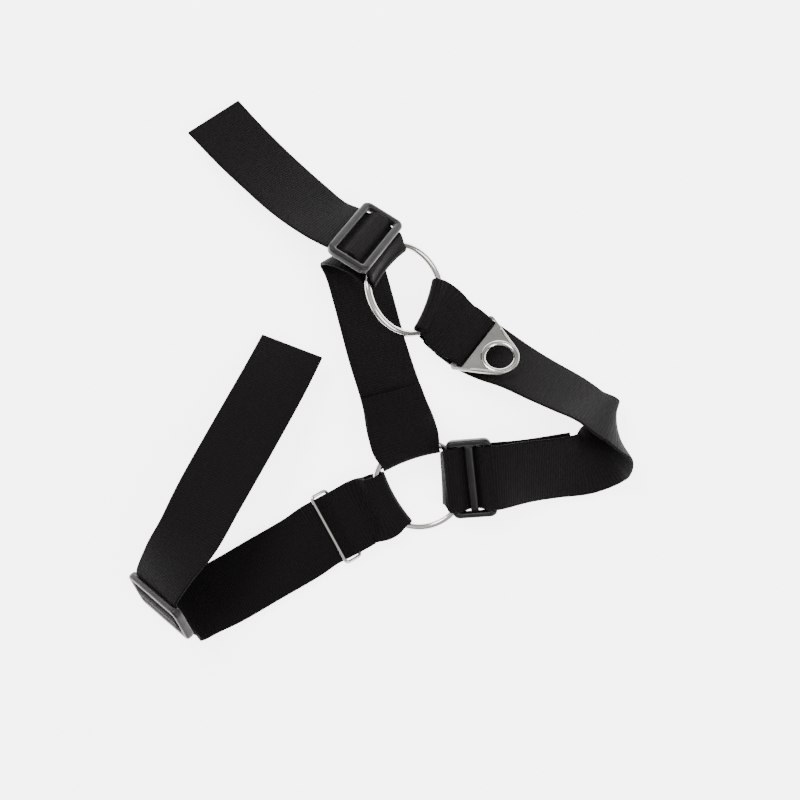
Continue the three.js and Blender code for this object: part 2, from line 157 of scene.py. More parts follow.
def station(at, across, width=WEB_WIDTH, bow=(0.0, 0.0, 0.0)):
    """A point of a strap's middle line, the way its width points, the width and how far its middle bows."""
    return np.concatenate([at, unit(across), [width], bow])


def round_the_wire():
    clear = FOLD_RADIUS + 0.35
    steps = [(LAYER_DISTANCE, clear, WEB_WIDTH), (21.5, clear, 36)]
    for degrees in range(0, 181, 30):
        angle = math.radians(degrees)
        distance = FOLD_DISTANCE - FOLD_RADIUS * math.sin(angle)
        steps.append((distance, FOLD_RADIUS * math.cos(angle), GATHERED_WIDTH))
    return steps + [(21.5, -clear, 36), (LAYER_DISTANCE, -clear, WEB_WIDTH)]


def ring_loop(ring, heading_degrees, across):
    out = in_plane(ring, heading_degrees)
    width = across - across.dot(out) * out
    stations = []
    for distance, height, size in round_the_wire():
        bow = out * (BOW if size == GATHERED_WIDTH else 0)
        stations.append(station(ring.origin + out * distance + ring.z * height, width, size, bow))
    return stations


SLIDER_WEAVE = [
    (-13, -2.5), (-9.5, -2.1), (-7.6, -1.9), (-5.7, -0.6), (-3.9, 1.3), (-2.2, 2.15), (0, 2.3),
    (2.2, 2.15), (3.9, 1.3), (5.7, -0.6), (7.6, -1.9), (9.5, -2.1), (13, -2.5),
]


def weave(slider, across):
    return [station(slider.at(x, 0, z), across, SLIDER_OPENING - 1.6) for x, z in SLIDER_WEAVE]


def bar_turn(bar, radius, across, width, towards):
    stations = []
    for degrees in range(-90, 91, 30):
        angle = math.radians(degrees)
        at = bar.at(towards * radius * math.cos(angle), 0, radius * math.sin(angle))
        stations.append(station(at, across, width))
    return stations


def over_keeper(x, z, width):
    return station(keeper_bar.at(x, 0, z), GIRTH_ACROSS, width)


def shoulder_route():
    ring_side = vec(-0.52, -0.67, 0.52)
    return [
        station(vec(-91.9, 139.5, 10), vec(-0.622, -0.622, 0.474)),
        station(vec(-74.8, 121.4, 12.2), vec(-0.59, -0.63, 0.5)),
        station(vec(-59, 106, 16.2), vec(-0.578, -0.617, 0.535)),
        station(vec(-43.4, 91.6, 23.2), vec(-0.56, -0.6, 0.57)),
        station(vec(-29.5, 80.5, 30), vec(-0.5, -0.58, 0.64)),
        *weave(shoulder_slider, -shoulder_slider.y),
        *ring_loop(upper_ring, 131, ring_side)[2:],
        station(vec(-11, 65, 27.5), vec(-0.6, -0.62, 0.5)),
        station(vec(-14.8, 66.6, 24.3), vec(-0.7, -0.6, 0.4)),
        station(vec(-16, 66, 19), vec(-0.8, -0.47, 0.36)),
        station(vec(-15.5, 62.2, 14), vec(-0.85, -0.33, 0.42)),
        station(vec(-13, 54, 12), vec(-0.83, -0.25, 0.5)),
        station(vec(-8.5, 38, 11.8), vec(-0.82, -0.25, 0.51)),
        station(vec(-0.6, 9, 11.8), vec(-0.83, -0.26, 0.49)),
        station(vec(8.3, -19, 12), vec(-0.87, -0.27, 0.41)),
        *ring_loop(lower_ring, 109, vec(-0.95, -0.31, 0))[::-1],
        station(vec(10.9, -27, 16.6), vec(-0.92, -0.28, 0.28), 37),
        station(vec(6.6, -13, 15.4), vec(-0.87, -0.26, 0.42), 37),
    ]


def chest_route():
    outer = vec(-0.577, -0.725, 0.377)
    return [
        station(plate_bar.at(-12, 0, -1.4), outer, 36.5),
        station(plate_bar.at(-8, 0, -1.7), outer, 36.5),
        station(plate_bar.at(-3.5, 0, -2.8), outer, FOLD_WIDTH),
        *bar_turn(plate_bar, PLATE_FOLD_RADIUS, outer, FOLD_WIDTH, 1),
        station(plate_bar.at(-5, 0, 2.5), vec(-0.56, -0.72, 0.4), 36.5),
        station(plate_bar.at(-12, 0, 1.7), vec(-0.55, -0.73, 0.4), 37.5),
        station(vec(36.6, 28.2, 16.3), vec(-0.47, -0.78, 0.43), 36),
        *ring_loop(upper_ring, -33.4, vec(-0.32, -0.85, 0.41))[1:-1],
        station(vec(33.5, 28.6, 8.9), vec(-0.42, -0.81, 0.41), 37),
        station(vec(41, 22.5, 9.6), vec(-0.48, -0.78, 0.39)),
        station(vec(51, 14.5, 10.6), vec(-0.53, -0.75, 0.39)),
        station(vec(62, 8, 12), vec(-0.52, -0.7, 0.48)),
        station(vec(75, 1.2, 14.5), vec(-0.46, -0.62, 0.64)),
        station(vec(88.9, -6.5, 17), vec(-0.42, -0.58, 0.7)),
        station(vec(102.8, -13.8, 20.5), vec(-0.38, -0.55, 0.745)),
        station(vec(115.9, -21.6, 25), vec(-0.3, -0.52, 0.8)),
        station(vec(127, -29.5, 26), vec(-0.1, -0.74, 0.66)),
        station(vec(130.3, -38, 20), vec(0.22, -0.9, 0.38)),
        station(vec(125, -46.6, 13), vec(0.22, -0.97, -0.04)),
        station(vec(115.5, -52.6, 11.4), vec(0.14, -0.93, -0.33)),
        station(vec(100.5, -55.3, 13.2), vec(0.08, -0.88, -0.45)),
        station(vec(83.6, -57.3, 16.6), vec(0.06, -0.9, -0.42)),
        *weave(chest_slider, -chest_slider.y),
        station(vec(36.6, -62.2, 17), vec(0.06, -0.93, -0.33), 34),
        station(vec(35.6, -61.8, 13.6), vec(0.06, -0.94, -0.3), 29.5),
        station(vec(35.4, -61.3, 10.8), vec(0.06, -0.95, -0.27), 30),
        station(vec(36.6, -60.8, 8.3), vec(0.06, -0.95, -0.25), 30),
        station(vec(39.8, -60.2, 6.8), vec(0.06, -0.96, -0.25), 32),
        station(vec(44, -59.6, 6.3), vec(0.06, -0.96, -0.26), 35),
        station(vec(50, -59.5, 6.8), vec(0.06, -0.95, -0.3), 37),
        station(vec(64, -58.6, 8.6), vec(0.06, -0.92, -0.38)),
        station(vec(80, -56.8, 10), vec(0.06, -0.9, -0.42)),
        station(vec(107.5, -52.4, 9.8), vec(0.08, -0.89, -0.44)),
    ]


def girth_route():
    return [
        station(vec(-48.3, 12.2, 9), vec(0.873, -0.407, 0.27)),
        station(vec(-57.1, -6, 15.5), vec(0.87, -0.43, 0.22)),
        station(vec(-74.2, -38.3, 25), vec(0.87, -0.45, 0.2)),
        station(vec(-91, -69.5, 33), vec(0.86, -0.45, 0.25)),
        station(vec(-101, -89, 37), vec(0.82, -0.46, 0.35)),
        station(vec(-111.6, -104.4, 37.5), vec(0.75, -0.42, 0.52)),
        *weave(girth_slider, girth_slider.y),
        station(vec(-108.7, -136.6, 9.5), vec(0.6, -0.7, 0.38)),
        station(vec(-98.5, -131, 5.2), vec(0.54, -0.83, 0.15)),
        station(vec(-85, -124.6, 4.2), vec(0.49, -0.87, 0.03)),
        station(vec(-65, -113, 4.2), vec(0.482, -0.876, 0)),
        station(vec(-43.3, -100.4, 4.2), vec(0.482, -0.876, 0)),
        over_keeper(-15, 0.6, 38),
        over_keeper(-9, 1.2, 38),
        over_keeper(-5, 2.6, 38),
        over_keeper(0, 4.2, 38),
        over_keeper(6, 4.6, 38),
        over_keeper(13, 5.2, 38),
        *ring_loop(lower_ring, 208.8, vec(0.48, -0.87, -0.24)),
        over_keeper(13, -0.8, 37.5),
        over_keeper(6, -2, 37),
        *bar_turn(keeper_bar, 2.1, GIRTH_ACROSS, 37, -1),
        over_keeper(6, 1.3, 37),
        over_keeper(11, 1.2, 37),
    ]


# ---- Webbing ----

class Strap:
    """A strap's middle line, sampled finely, with the direction of its width and face all along it."""

    def __init__(self, stations):
        self.stations = np.array(stations)
        self.places = np.linspace(0, len(stations) - 1, (len(stations) - 1) * 60 + 1)
        points = np.array([self.value(p)[:3] for p in self.places])
        steps = np.linalg.norm(np.diff(points, axis=0), axis=1)
        self.lengths = np.concatenate([[0], np.cumsum(steps)])

    def value(self, place):
        """All of a station's numbers at a place such as 2.5, on a smooth curve through the stations."""
        s = self.stations
        i = min(int(place), len(s) - 2)
        t = place - i
        before = s[i - 1] if i > 0 else 2 * s[0] - s[1]
        after = s[i + 2] if i + 2 < len(s) else 2 * s[-1] - s[-2]
        four = [before, s[i], s[i + 1], after]
        gap = [max(np.linalg.norm(b[:3] - a[:3]) ** 0.5, 1e-3) for a, b in zip(four, four[1:])]
        a, b, c, d = four
        start = gap[1] * ((b - a) / gap[0] - (c - a) / (gap[0] + gap[1]) + (c - b) / gap[1])
        end = gap[1] * ((c - b) / gap[1] - (d - b) / (gap[1] + gap[2]) + (d - c) / gap[2])
        return (b + start * t + (3 * (c - b) - 2 * start - end) * t * t
                + (2 * (b - c) + start + end) * t ** 3)

    def along(self, place):
        last = len(self.stations) - 1
        return unit(self.value(min(place + 0.01, last))[:3] - self.value(max(place - 0.01, 0))[:3])

    def section(self, place):
        value = self.value(place)
        along = self.along(place)
        across = unit(value[3:6] - value[3:6].dot(along) * along)
        return value[:3], along, across, np.cross(across, along), value[6], value[7:10]

    def place_at(self, length):
        return float(np.interp(length, self.lengths, self.places))

    def length_at(self, place):
        return float(np.interp(place, self.places, self.lengths))

    def on_face(self, place, side, lift):
        """A point on or over the upper face; side is -1 to 1 across the width."""
        at, _, across, normal, width, bow = self.section(place)
        sideways = across * side * width / 2 + bow * (1 - side * side)
        return at + sideways + normal * (WEB_THICKNESS / 2 + lift)


def web_profile():
    """Half a cross-section from one selvedge to the other, each (side, height, share of a rib's height)."""
    inner = np.linspace(-0.88, 0.88, 12)
    left = [(-1, 0.0, 0), (-0.997, 0.45, 0), (-0.975, 0.86, 0), (-0.94, 1.0, 0.4), (-0.915, 0.93, 0.6)]
    right = [(-side, height, rib) for side, height, rib in reversed(left)]
    return left + [(side, 1.0, 1.0) for side in inner] + right


def web_mesh(name, strap, start, end):
    """A closed length of webbing with real cross ribs, and with its flat position as its UV map."""
    first, last = strap.length_at(start), strap.length_at(end)
    lengths = np.linspace(first, last, max(2, int(round((last - first) / WEB_STEP)) + 1))
    half = web_profile()
    profile = [(s, h, r) for s, h, r in half] + [(s, -h, r) for s, h, r in reversed(half[1:-1])]
    sides = np.array([p[0] for p in profile])[:, None]
    heights = np.array([p[1] for p in profile])[:, None]
    ribs = np.array([p[2] for p in profile])[:, None]
    verts, count = [], len(profile)
    for length in lengths:
        at, _, across, normal, width, bow = strap.section(strap.place_at(length))
        wave = 0.5 + 0.5 * math.cos(2 * math.pi * length / RIB)
        thick = heights * (WEB_THICKNESS / 2 - RIB_HEIGHT * (1 - wave) * ribs)
        verts.append(at + across * sides * width / 2 + bow * (1 - sides ** 2) + normal * thick)
    verts = row(np.concatenate(verts))
    faces, flat = [], []
    for i in range(len(lengths) - 1):
        for k in range(count):
            j = (k + 1) % count
            faces.append((i * count + k, i * count + j, (i + 1) * count + j, (i + 1) * count + k))
            flat.append([(sides[k, 0], i), (sides[j, 0], i), (sides[j, 0], i + 1), (sides[k, 0], i + 1)])
    faces.append(tuple(range(count - 1, -1, -1)))
    flat.append([(sides[k, 0], 0) for k in range(count - 1, -1, -1)])
    tail = (len(lengths) - 1) * count
    faces.append(tuple(tail + k for k in range(count)))
    flat.append([(sides[k, 0], len(lengths) - 1) for k in range(count)])
    mesh = bpy.data.meshes.new(name)
    mesh.from_pydata([tuple(v) for v in verts], [], faces)
    layer = mesh.uv_layers.new(name="flat")
    uv = [(s * WEB_WIDTH / 2000, lengths[i] / 1000) for corner in flat for s, i in corner]
    layer.data.foreach_set("uv", np.array(uv, np.float32).ravel())
    mesh.polygons.foreach_set("use_smooth", [True] * (len(faces) - 2) + [False, False])
    sharp = mesh.attributes.new("sharp_edge", "BOOLEAN", "EDGE")
    caps = {frozenset(e) for f in faces[-2:] for e in zip(f, f[1:] + f[:1])}
    sharp.data.foreach_set("value", [frozenset(e.vertices) in caps for e in mesh.edges])
    obj = bpy.data.objects.new(name, mesh)
    bpy.context.scene.collection.objects.link(obj)
    return obj


# ---- Wire, plastic and sheet metal ----

def new_object(name, verts, faces, smooth=True):
    mesh = bpy.data.meshes.new(name)
    mesh.from_pydata([tuple(v) for v in verts], [], faces)
    mesh.polygons.foreach_set("use_smooth", [smooth] * len(mesh.polygons))
    obj = bpy.data.objects.new(name, mesh)
    bpy.context.scene.collection.objects.link(obj)
    return obj


def tidy_normals(obj):
    bm = bmesh.new()
    bm.from_mesh(obj.data)
    bmesh.ops.recalc_face_normals(bm, faces=bm.faces)
    bm.to_mesh(obj.data)
    bm.free()


def swept_bar(name, places, radius, sides=20, closed=True):
    """A round bar through places, each (point, outward way, upward way). An open bar tapers at its ends."""
    verts, count = [], len(places)
    for i, (at, out, up) in enumerate(places):
        size = radius if closed else radius * min(1.0, 0.3 + 0.35 * min(i, count - 1 - i))
        for k in range(sides):
            angle = 2 * math.pi * k / sides
            verts.append(at + size * (math.cos(angle) * out + math.sin(angle) * up))
    faces = []
    if not closed:
        faces.append(tuple(range(sides)))
        faces.append(tuple((count - 1) * sides + k for k in range(sides)))
    for i in range(count if closed else count - 1):
        for k in range(sides):
            j, n = (k + 1) % sides, (i + 1) % count
            faces.append((i * sides + k, i * sides + j, n * sides + j, n * sides + k))
    obj = new_object(name, row(verts), faces)
    tidy_normals(obj)
    return obj


def ring(name, place):
    places = []
    for i in range(RING_SECTIONS):
        angle = 2 * math.pi * i / RING_SECTIONS
        out = math.cos(angle) * place.x + math.sin(angle) * place.y
        places.append((place.origin + RING_RADIUS * out, out, place.z))
    return swept_bar(name, places, RING_WIRE / 2, 28)


def keeper(name):
    towards = unit(keeper_bar.at(-9, 0, 3.4) - keeper_bar.origin)
    flat = Frame(keeper_bar.origin, towards, keeper_bar.y)
    places = []
    for quarter, (side_x, side_y) in enumerate([(1, 1), (-1, 1), (-1, -1), (1, -1)]):
        x = KEEPER_LENGTH / 2 + side_x * (KEEPER_LENGTH / 2 - KEEPER_CORNER)
        y = side_y * (KEEPER_SPAN / 2 - KEEPER_CORNER)
        for step in range(9):
            angle = (quarter + step / 8) * math.pi / 2
            out = math.cos(angle) * flat.x + math.sin(angle) * flat.y
            places.append((flat.at(x, y, 0) + KEEPER_CORNER * out, out, flat.z))
    return swept_bar(name, places, KEEPER_WIRE / 2)


def rounded_outline(half_x, half_y, corner, steps=8, straight=10):
    """Points round a rectangle with rounded corners, the same count whatever its size."""
    points = []
    for quarter, (side_x, side_y) in enumerate([(1, 1), (-1, 1), (-1, -1), (1, -1)]):
        centre = np.array((side_x * (half_x - corner), side_y * (half_y - corner)))
        arc = []
        for step in range(steps + 1):
            angle = (quarter + step / steps) * math.pi / 2
            arc.append(centre + corner * np.array((math.cos(angle), math.sin(angle))))
        if points:
            for step in range(1, straight):
                points.append(points_end + (arc[0] - points_end) * step / straight)
        points.extend(arc)
        points_end = arc[-1]
    for step in range(1, straight):
        points.append(points_end + (points[0] - points_end) * step / straight)
    return points


def slider(name, place):
    """A moulded frame, thin along its two outer bars and full at its ends, with a bar in the middle."""
    outer = rounded_outline(SLIDER_LENGTH / 2, SLIDER_SPAN / 2, SLIDER_CORNER)
    inner = rounded_outline(SLIDER_LENGTH / 2 - SIDE_BAR, SLIDER_OPENING / 2, 1.2)
    verts, faces, corners = [], [], 28
    for far, near in zip(outer, inner):
        end = min(1.0, max(0.0, (abs((far[1] + near[1]) / 2) - 18.9) / 1.2))
        drop = SLIDER_HALF_HEIGHT + SIDE_BAR_BOTTOM
        bottom = SIDE_BAR_BOTTOM - drop * end * end * (3 - 2 * end)
        top = SLIDER_HALF_HEIGHT
        mid, half = (far + near) / 2, (far - near) / 2
        height, centre = (top - bottom) / 2, (top + bottom) / 2
        for k in range(corners):
            angle = 2 * math.pi * k / corners
            c, s = math.cos(angle), math.sin(angle)
            reach = (abs(c) ** 3.4 + abs(s) ** 3.4) ** (-1 / 3.4)
            xy = mid + half * c * reach
            verts.append(place.at(xy[0], xy[1], centre + height * s * reach))
    count = len(outer)
    for i in range(count):
        for k in range(corners):
            j, n = (k + 1) % corners, (i + 1) % count
            faces.append((i * corners + k, i * corners + j, n * corners + j, n * corners + k))
    base = len(verts)
    steps = 12
    for i in range(steps + 1):
        y = -20.6 + 41.2 * i / steps
        for k in range(corners):
            angle = 2 * math.pi * k / corners
            c, s = math.cos(angle), math.sin(angle)
            reach = (abs(c) ** 3 + abs(s) ** 3) ** (-1 / 3)
            verts.append(place.at(2.2 * c * reach, y, -0.4 + 1.2 * s * reach))
    for i in range(steps):
        for k in range(corners):
            j = (k + 1) % corners
            start, after = base + i * corners, base + (i + 1) * corners
            faces.append((start + k, start + j, after + j, after + k))
    faces.append(tuple(base + k for k in range(corners)))
    faces.append(tuple(base + steps * corners + k for k in range(corners)))
    obj = new_object(name, row(verts), faces)
    tidy_normals(obj)
    return obj


def plate_outline():
    """The plate's outer edge: two small corners at the bar and a large one round the eye."""
    corner = PLATE_CORNER
    rise = EYE_DISTANCE - corner[1]
    reach = math.hypot(corner[0], rise)
    side = math.atan2(rise, -corner[0]) - math.acos((PLATE_CORNER_RADIUS - TIP_RADIUS) / reach)
    points = []
    for centre, size, start, end in (
        (corner, PLATE_CORNER_RADIUS, -math.pi / 2, side),
        (np.array((0, EYE_DISTANCE)), TIP_RADIUS, side, math.pi - side),
        (corner * (-1, 1), PLATE_CORNER_RADIUS, math.pi - side, 1.5 * math.pi),
    ):
        for step in range(17):
            angle = start + (end - start) * step / 16
            points.append(centre + size * np.array((math.cos(angle), math.sin(angle))))
    return points


def plate_frame():
    lift = math.radians(PLATE_LIFT)
    out = plate_bar.x * math.cos(lift) + plate_bar.z * math.sin(lift)
    return Frame(plate_bar.origin, -plate_bar.y, out)


def leash_plate(name):
    """Sheet metal cut to a rounded triangle, with softened edges."""
    place = plate_frame()
    eye = [(EYE_RADIUS * math.cos(a), EYE_DISTANCE + EYE_RADIUS * math.sin(a))
           for a in np.linspace(0, 2 * math.pi, 64, endpoint=False)]
    slot = [(x, y + SLOT_MIDDLE) for x, y in rounded_outline(SLOT_HALF_LENGTH, SLOT_HALF_WIDTH, 1.2, 5, 4)]
    curve = bpy.data.curves.new(name, "CURVE")
    curve.dimensions, curve.fill_mode = "2D", "BOTH"
    curve.extrude = (PLATE_THICKNESS / 2 - PLATE_EDGE) / 1000
    curve.bevel_depth = PLATE_EDGE / 1000
    curve.bevel_resolution = 3
    curve.offset = -PLATE_EDGE / 1000
    for outline in (plate_outline(), slot, eye):
        spline = curve.splines.new("POLY")
        spline.points.add(len(outline) - 1)
        spline.use_cyclic_u = True
        for point, (x, y) in zip(spline.points, outline):
            point.co = (x / 1000, y / 1000, 0, 1)
    holder = bpy.data.objects.new(name + ".curve", curve)
    bpy.context.scene.collection.objects.link(holder)
    graph = bpy.context.evaluated_depsgraph_get()
    mesh = bpy.data.meshes.new_from_object(holder.evaluated_get(graph))
    bpy.data.objects.remove(holder)
    for vertex in mesh.vertices:
        x, y, z = np.array(vertex.co) * 1000
        vertex.co = row(place.at(x, y, z))
    mesh.name = name
    obj = bpy.data.objects.new(name, mesh)
    bpy.context.scene.collection.objects.link(obj)
    bm = bmesh.new()
    bm.from_mesh(mesh)
    bmesh.ops.remove_doubles(bm, verts=bm.verts, dist=1e-6)
    bmesh.ops.recalc_face_normals(bm, faces=bm.faces)
    bm.to_mesh(mesh)
    bm.free()
    return obj


def eye_rim(name):
    place = plate_frame()
    places = []
    for i in range(72):
        angle = 2 * math.pi * i / 72
        out = math.cos(angle) * place.x + math.sin(angle) * place.y
        places.append((place.at(0, EYE_DISTANCE, 0) + (EYE_RADIUS + 1.3) * out, out, place.z))
    return swept_bar(name, places, EYE_RIM, 20)


def edge_bead(name):
    """The turned edge that stands up along the plate's two sides and round its tip."""
    place = plate_frame()
    outline = plate_outline()
    tip = outline[17:34]
    right = [outline[16] + (tip[0] - outline[16]) * share for share in np.linspace(0.3, 0.95, 8)]
    left = [tip[-1] + (outline[34] - tip[-1]) * share for share in np.linspace(0.05, 0.7, 8)]
    edge = right + tip + left
    places = []
    for i, (x, y) in enumerate(edge):
        before, after = edge[max(i - 1, 0)], edge[min(i + 1, len(edge) - 1)]
        way = unit(np.array((after[1] - before[1], before[0] - after[0])))
        inward = np.array((x, y)) - way * 0.9
        out = way[0] * place.x + way[1] * place.y
        places.append((place.at(inward[0], inward[1], BEAD), out, place.z))
    return swept_bar(name, places, BEAD, 14, closed=False)


# ---- Sewing ----

def stitch_run(name, strap, start, end, inset=2.6, pitch=2.9):
    """Short raised stitches round a box on a strap's upper face, with a cross from corner to corner."""
    first, last = strap.length_at(start), strap.length_at(end)
    half = WEB_WIDTH / 2 - inset
    corners = [(-half, first), (half, first), (half, last), (-half, last)]
    lines = list(zip(corners, corners[1:] + corners[:1]))
    lines += [(corners[0], corners[2]), (corners[1], corners[3])] if last - first > 9 else []
    verts, faces = [], []
    for (x0, l0), (x1, l1) in lines:
        length = math.hypot(x1 - x0, l1 - l0)
        count = max(1, int(length / pitch))
        for i in range(count):
            ends = []
            for share in ((i + 0.12) / count, (i + 0.88) / count):
                x, along = x0 + (x1 - x0) * share, l0 + (l1 - l0) * share
                ends.append((x, strap.place_at(along)))
            add_stitch(verts, faces, strap, ends)
    obj = new_object(name, row(verts), faces)
    tidy_normals(obj)
    return obj


def add_stitch(verts, faces, strap, ends):
    """One stitch: a thread that comes up, lies on the webbing and goes down again."""
    base, sides, rings = len(verts), 6, 7
    (x0, p0), (x1, p1) = ends
    centres = []
    for i in range(rings):
        share = i / (rings - 1)
        lift = 0.3 * math.sin(math.pi * share) ** 0.5 - 0.12
        x, place = x0 + (x1 - x0) * share, p0 + (p1 - p0) * share
        centres.append(strap.on_face(place, 2 * x / WEB_WIDTH, lift))
    normal = strap.section((p0 + p1) / 2)[3]
    way = unit(centres[-1] - centres[0])
    side = unit(np.cross(normal, way))
    for i, centre in enumerate(centres):
        share = i / (rings - 1)
        radius = 0.34 * (0.35 + 0.65 * math.sin(math.pi * share) ** 0.5)
        for k in range(sides):
            angle = 2 * math.pi * k / sides
            verts.append(centre + radius * (math.cos(angle) * side + math.sin(angle) * normal))
    for i in range(rings - 1):
        for k in range(sides):
            j = (k + 1) % sides
            start, after = base + i * sides, base + (i + 1) * sides
            faces.append((start + k, start + j, after + j, after + k))
    faces.append(tuple(base + k for k in reversed(range(sides))))
    faces.append(tuple(base + (rings - 1) * sides + k for k in range(sides)))


# ---- Materials ----

class Nodes:
    """A material's node tree, built by short calls."""

    def __init__(self, name):
        self.material = bpy.data.materials.new(name)
        self.material.use_nodes = True
        self.tree = self.material.node_tree
        self.shader = self.tree.nodes["Principled BSDF"]

    def add(self, kind, **inputs):
        node = self.tree.nodes.new(kind)
        for key, value in inputs.items():
            self.feed(node, key, value)
        return node

    def feed(self, node, key, value):
        socket = node.inputs[int(key[1:])] if key[0] == "_" else node.inputs[key.replace("_", " ")]
        if isinstance(value, bpy.types.NodeSocket):
            self.tree.links.new(value, socket)
        else:
            socket.default_value = value

    def math(self, operation, a, b=0.0):
        node = self.add("ShaderNodeMath", _0=a, _1=b)
        node.operation = operation
        return node.outputs[0]

    def span(self, value, low, high, to_low, to_high):
        ends = {"From_Min": low, "From_Max": high, "To_Min": to_low, "To_Max": to_high}
        return self.add("ShaderNodeMapRange", Value=value, **ends).outputs[0]

    def noise(self, scale, detail=3.0):
        vector = self.tree.nodes.new("ShaderNodeTexCoord").outputs["Object"]
        node = self.add("ShaderNodeTexNoise", Vector=vector, Scale=scale, Detail=detail)
        return node.outputs["Fac"]

    def mix(self, share, a, b):
        node = self.add("ShaderNodeMix")
        node.data_type = "RGBA"
        for socket, value in ((node.inputs[0], share), (node.inputs[6], a), (node.inputs[7], b)):
            if isinstance(value, bpy.types.NodeSocket):
                self.tree.links.new(value, socket)
            else:
                socket.default_value = value
        return node.outputs[2]

    def bump(self, height, strength, distance):
        node = self.add("ShaderNodeBump", Height=height, Strength=strength, Distance=distance)
        self.feed(self.shader, "Normal", node.outputs[0])

    def set(self, **inputs):
        for key, value in inputs.items():
            self.feed(self.shader, key, value)


def webbing_material():
    """Black polyester webbing: cross ribs, lengthwise warp threads, rib crests with painted highlight and
    grooves with painted shade, and a dull sheen.
    """
    m = Nodes("webbing")
    flat = m.tree.nodes.new("ShaderNodeUVMap")
    flat.uv_map = "flat"
    parts = m.add("ShaderNodeSeparateXYZ", Vector=flat.outputs[0])
    across, along = parts.outputs[0], parts.outputs[1]
    rib = m.math("COSINE", m.math("MULTIPLY", along, 2 * math.pi / (RIB / 1000)))
    warp = m.math("COSINE", m.math("MULTIPLY", across, 2 * math.pi / 0.0011))
    crossing = m.math("MULTIPLY", m.math("MULTIPLY", warp, rib), 0.4)
    weave_height = m.math("ADD", m.math("MULTIPLY", rib, 0.6), crossing)
    fuzz = m.noise(1100, 4)
    wear = m.noise(45, 3)
    # Painted highlight and shade: the rib crests are coloured lighter and the grooves near black, standing
    # in for light on the ribs; the fuzz noise adds real random variation.
    rib_painted_light = m.span(rib, -0.6, 1.0, 0.4, 1.0)
    rib_light_and_fuzz = m.math("MULTIPLY", rib_painted_light, m.span(fuzz, 0.35, 0.68, 0.05, 1.0))
    cloth = m.mix(rib_light_and_fuzz, (0.0002, 0.0002, 0.0003, 1), (0.010, 0.008, 0.0073, 1))
    m.set(Base_Color=m.mix(m.span(wear, 0.45, 0.8, 0.0, 0.3), cloth, (0.0045, 0.004, 0.0038, 1)))
    m.set(Roughness=m.span(fuzz, 0.3, 0.7, 0.6, 0.85), Specular_IOR_Level=0.09)
    m.set(Sheen_Weight=0.012, Sheen_Roughness=0.45, Sheen_Tint=(0.62, 0.56, 0.54, 1))
    m.bump(m.math("ADD", weave_height, m.math("MULTIPLY", fuzz, 0.8)), 0.7, 0.00012)
    return m.material


def thread_material():
    m = Nodes("thread")
    twist = m.noise(5200, 2)
    m.set(Base_Color=m.mix(twist, (0.002, 0.0018, 0.0018, 1), (0.012, 0.0105, 0.01, 1)), Roughness=0.5)
    m.set(Sheen_Weight=0.02, Specular_IOR_Level=0.15)
    m.bump(twist, 0.6, 0.0001)
    return m.material


def steel_material(name, colour, rough):
    """Nickel plate over wire: bright, with faint ripples, drawing marks and rubbed patches."""
    m = Nodes(name)
    rubbed = m.noise(90, 4)
    fine = m.noise(1400, 3)
    darker = tuple(c * 0.86 for c in colour[:3]) + (1,)
    m.set(Base_Color=m.mix(m.span(rubbed, 0.35, 0.7, 0, 1), colour, darker))
    m.set(Metallic=1.0, Roughness=m.span(rubbed, 0.3, 0.75, rough, rough + 0.14))
    m.bump(m.math("ADD", m.math("MULTIPLY", fine, 0.4), rubbed), 0.16, 0.0002)
    return m.material


def plastic_material(name, colour, rough):
    """Moulded nylon: satin, faintly pebbled, with scuffs where the webbing rubs."""
    m = Nodes(name)
    pebble = m.noise(2400, 2)
    scuff = m.noise(160, 5)
    paler = tuple(min(1.0, c * 1.35 + 0.004) for c in colour[:3]) + (1,)
    m.set(Base_Color=m.mix(m.span(scuff, 0.5, 0.75, 0, 0.7), colour, paler))
    m.set(Roughness=m.span(scuff, 0.3, 0.7, rough, rough + 0.16), Specular_IOR_Level=0.35)
    m.bump(pebble, 0.25, 0.00008)
    return m.material


WEBBING = webbing_material()
THREAD = thread_material()
STEEL = steel_material("steel", (0.66, 0.63, 0.6, 1), 0.1)
PLATE = steel_material("plate", (0.42, 0.405, 0.385, 1), 0.26)


def finish_piece(obj, material, slot, body, *nodes):
    obj.data.materials.clear()
    obj.data.materials.append(material)
    if body:
        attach(obj, body)
    if nodes:
        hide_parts(*nodes)
    return obj


# ---- The webbing, in lengths that each ride one body, or ride none where a bend is listed ----

shoulder = Strap(shoulder_route())
chest = Strap(chest_route())
girth = Strap(girth_route())


def point(strap, place):
    return Vector(row(strap.value(place)[:3]))


def web_piece(name, strap, start, end, nodes, body=None, bend=None):
    """A length of webbing that rides a body, or, when bend is given, rides none and only has its transform
    baked; the parts of bend (first, second, from place, to place) are not used.
    """
    obj = web_mesh(name, strap, start, end)
    finish_piece(obj, WEBBING, "webbing", body, *nodes)
    if bend:
        first, second, from_place, to_place = bend
        point(strap, from_place)
        point(strap, to_place)
        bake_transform(obj)
    length = (strap.length_at(end) - strap.length_at(start)) / 1000


def sewn(name, strap, start, end, node):
    obj = stitch_run(name, strap, start, end)
    return finish_piece(obj, THREAD, "thread", "straps", node)



shoulder_sewing = sewn("look_shoulder_stitches", shoulder, 45.4, 46.7, "shoulder_strap_stitches")
leash_sewing = sewn("look_leash_fold_stitches", chest, 10.2, 10.9, "leash_fold_stitches")
keeper_sewing = sewn("look_keeper_fold_stitches", girth, 49.5, 50.6, "keeper_fold_stitches")

